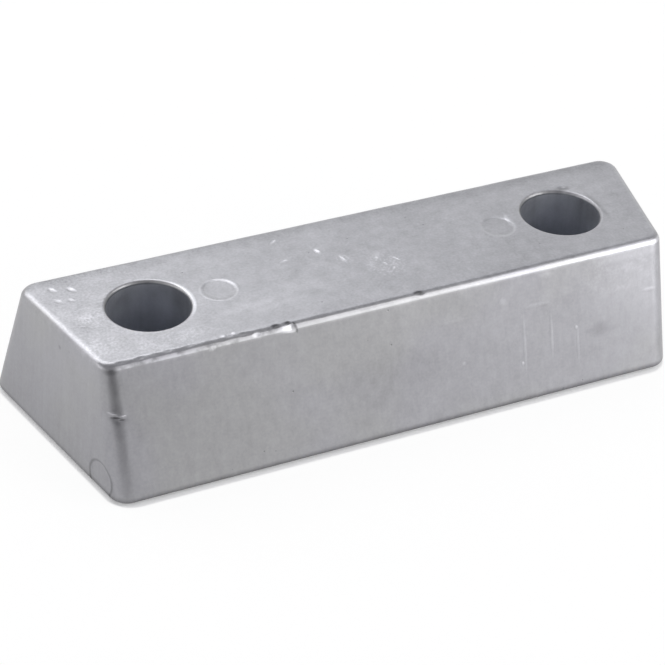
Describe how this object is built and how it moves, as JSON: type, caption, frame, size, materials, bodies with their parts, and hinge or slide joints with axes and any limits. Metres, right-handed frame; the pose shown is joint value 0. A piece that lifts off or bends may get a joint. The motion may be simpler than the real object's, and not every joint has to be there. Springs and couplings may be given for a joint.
{
  "type": "sacrificial anode",
  "caption": "Drafted cast bar that bolts flat against a hull or bracket and corrodes in its place, with a counterbored recess for each bolt.",
  "frame": {"origin": "centre of the mounting face, midway between the two bolts", "axes": "+X along the bar, +Z out of the mounting face towards the bolt heads, -Y towards the short long side"},
  "size_m": [0.1538, 0.0522, 0.03],
  "materials": {
    "anode_metal": "as cast, dull"
  },
  "bodies": {
    "root": {"anode_bar": "anode_metal"}
  },
  "joints": []
}
